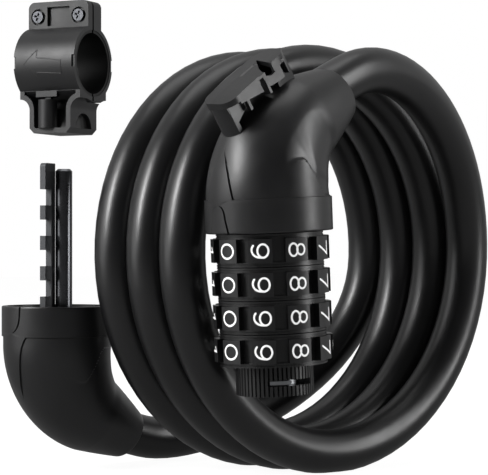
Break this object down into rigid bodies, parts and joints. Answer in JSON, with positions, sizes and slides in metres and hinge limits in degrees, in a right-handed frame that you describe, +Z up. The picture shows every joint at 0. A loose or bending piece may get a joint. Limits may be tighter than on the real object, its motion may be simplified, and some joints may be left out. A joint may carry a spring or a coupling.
{
  "type": "coiled cable lock",
  "caption": "Self-coiling cable lock with turning number dials, a toothed bolt head, a carrying lug and a separate clamp bracket for a bicycle frame.",
  "frame": {"origin": "middle of the upper face of the carrying lug's plate, on the dial head", "axes": "+Z up, -X towards the index marks, Y along the axis of the coil, with the dial head at the low end and the bolt head at the high end"},
  "size_m": [0.128, 0.1667, 0.139],
  "materials": {
    "housing_plastic": "satin black moulded plastic with a fine grain",
    "dial_plastic": "black moulded plastic",
    "ring_plastic": "black moulded plastic",
    "cable_vinyl": "satin black vinyl",
    "bracket_plastic": "satin black moulded plastic",
    "liner_rubber": "black rubber",
    "dark_plate": "black moulded plastic",
    "spindle_steel": "turned steel",
    "bearing_steel": "polished steel",
    "spring_steel": "spring steel",
    "bright_steel": "bright steel",
    "ferrule_metal": "plain aluminium",
    "rope_steel": "galvanised steel rope",
    "bolt_steel": "dark satin steel",
    "bar_steel": "dark cast metal",
    "screw_steel": "zinc plated steel",
    "clutch_brass": "plain brass"
  },
  "bodies": {
    "lock": {"lock_housing": "housing_plastic", "spindle": "spindle_steel", "detent_balls": "bearing_steel", "detent_springs": "spring_steel", "wave_spring": "spring_steel", "reset_key": "bright_steel", "retaining_clip": "spring_steel", "lock_ferrule": "ferrule_metal", "cable_jacket": "cable_vinyl", "cable_core": "rope_steel", "bolt_ferrule": "ferrule_metal", "bolt_housing": "housing_plastic", "cup_plate": "dark_plate", "bolt_rod": "bolt_steel", "bolt_bar": "bar_steel"},
    "dial_1": {"dial_1": "dial_plastic", "clutch_ring_1": "clutch_brass"},
    "dial_2": {"dial_2": "dial_plastic", "clutch_ring_2": "clutch_brass"},
    "dial_3": {"dial_3": "dial_plastic", "clutch_ring_3": "clutch_brass"},
    "dial_4": {"dial_4": "dial_plastic", "clutch_ring_4": "clutch_brass"},
    "reset_ring": {"reset_ring": "ring_plastic"},
    "bracket": {"bracket_front_jaw": "bracket_plastic", "front_liner": "liner_rubber"},
    "rear_jaw": {"bracket_rear_jaw": "bracket_plastic", "rear_liner": "liner_rubber", "clamp_nuts": "screw_steel"},
    "screw_left": {"clamp_screw_left": "screw_steel"},
    "screw_right": {"clamp_screw_right": "screw_steel"}
  },
  "joints": [
    {"name": "dial_1_turn", "type": "hinge", "parent": "lock", "child": "dial_1", "pos_m": [0.00859, 0, -0.04223], "axis": [-0.0523, 0, 0.9986], "continuous": true},
    {"name": "dial_2_turn", "type": "hinge", "parent": "lock", "child": "dial_2", "pos_m": [0.00903, 0, -0.05047], "axis": [-0.0523, 0, 0.9986], "continuous": true},
    {"name": "dial_3_turn", "type": "hinge", "parent": "lock", "child": "dial_3", "pos_m": [0.00946, 0, -0.05871], "axis": [-0.0523, 0, 0.9986], "continuous": true},
    {"name": "dial_4_turn", "type": "hinge", "parent": "lock", "child": "dial_4", "pos_m": [0.00989, 0, -0.06695], "axis": [-0.0523, 0, 0.9986], "continuous": true},
    {"name": "reset_ring_turn", "type": "hinge", "parent": "lock", "child": "reset_ring", "pos_m": [0.01031, 0, -0.07506], "axis": [-0.0523, 0, 0.9986], "range_deg": [-35, 0]},
    {"name": "bracket_apart", "type": "slide", "parent": "lock", "child": "bracket", "axis": [0, 0, 1], "range_m": [0, 0.06]},
    {"name": "rear_jaw_opens", "type": "slide", "parent": "bracket", "child": "rear_jaw", "axis": [0.9397, 0.342, 0], "range_m": [0, 0.0021]},
    {"name": "clamp_screw_left_turn", "type": "hinge", "parent": "bracket", "child": "screw_left", "pos_m": [0.04563, 0.14238, 0.0312], "axis": [-0.9397, -0.342, 0], "range_deg": [0, 1080]},
    {"name": "clamp_screw_right_turn", "type": "hinge", "parent": "bracket", "child": "screw_right", "pos_m": [0.05073, 0.12837, 0.0312], "axis": [-0.9397, -0.342, 0], "range_deg": [0, 1080]}
  ],
  "couplings": [
    {"joint": "clamp_screw_left_turn", "follows": "rear_jaw_opens", "rad_per_m": 8976.1},
    {"joint": "clamp_screw_right_turn", "follows": "rear_jaw_opens", "rad_per_m": 8976.1}
  ]
}
